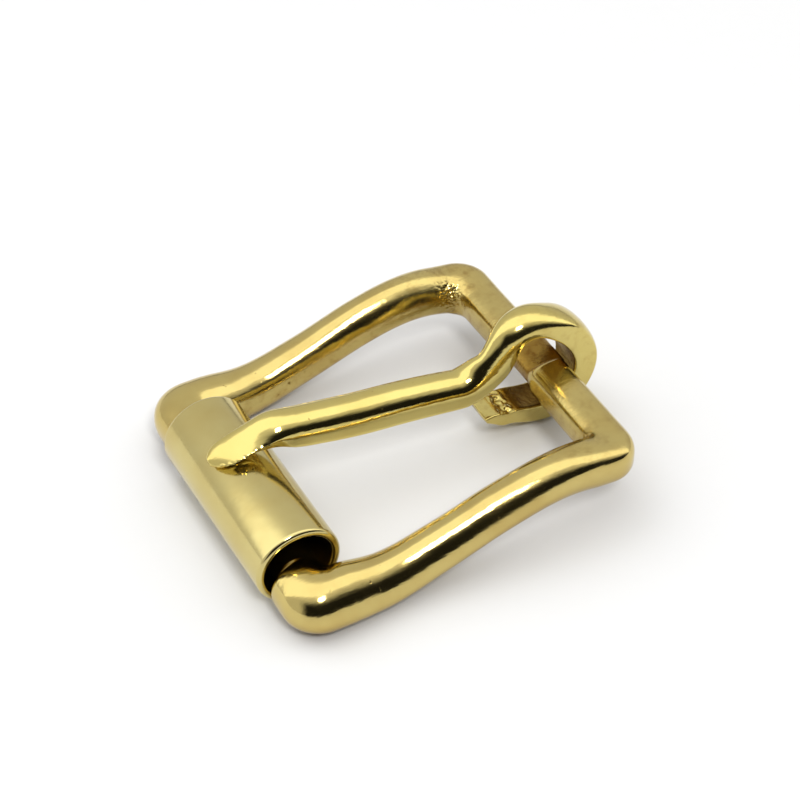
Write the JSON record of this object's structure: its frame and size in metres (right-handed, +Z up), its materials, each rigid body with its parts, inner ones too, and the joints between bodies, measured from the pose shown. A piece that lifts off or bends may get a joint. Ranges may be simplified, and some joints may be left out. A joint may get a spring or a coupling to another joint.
{
  "type": "roller buckle",
  "caption": "Strap buckle whose tongue tip lies on a free turning tube, so that a strap pulls through easily",
  "frame": {"origin": "on the surface the buckle lies on, under the middle of its outer box", "axes": "+X runs from the roller to the heel bar, +Y along the bars to the far side, +Z up off the surface"},
  "size_m": [0.0352, 0.0286, 0.0116],
  "materials": {
    "frame_brass": "polished cast brass with fine pits",
    "roller_brass": "bright satin tube",
    "tongue_brass": "polished brass"
  },
  "bodies": {
    "frame": {"frame": "frame_brass"},
    "roller": {"roller": "roller_brass"},
    "tongue": {"tongue": "tongue_brass"}
  },
  "joints": [
    {"name": "roller_turn", "type": "hinge", "parent": "frame", "child": "roller", "pos_m": [-0.014, 0, 0.0036], "axis": [0, 1, 0], "continuous": true},
    {"name": "tongue_swing", "type": "hinge", "parent": "frame", "child": "tongue", "pos_m": [0.01175, 0, 0.00571], "axis": [0, 1, 0], "range_deg": [0, 165]}
  ]
}
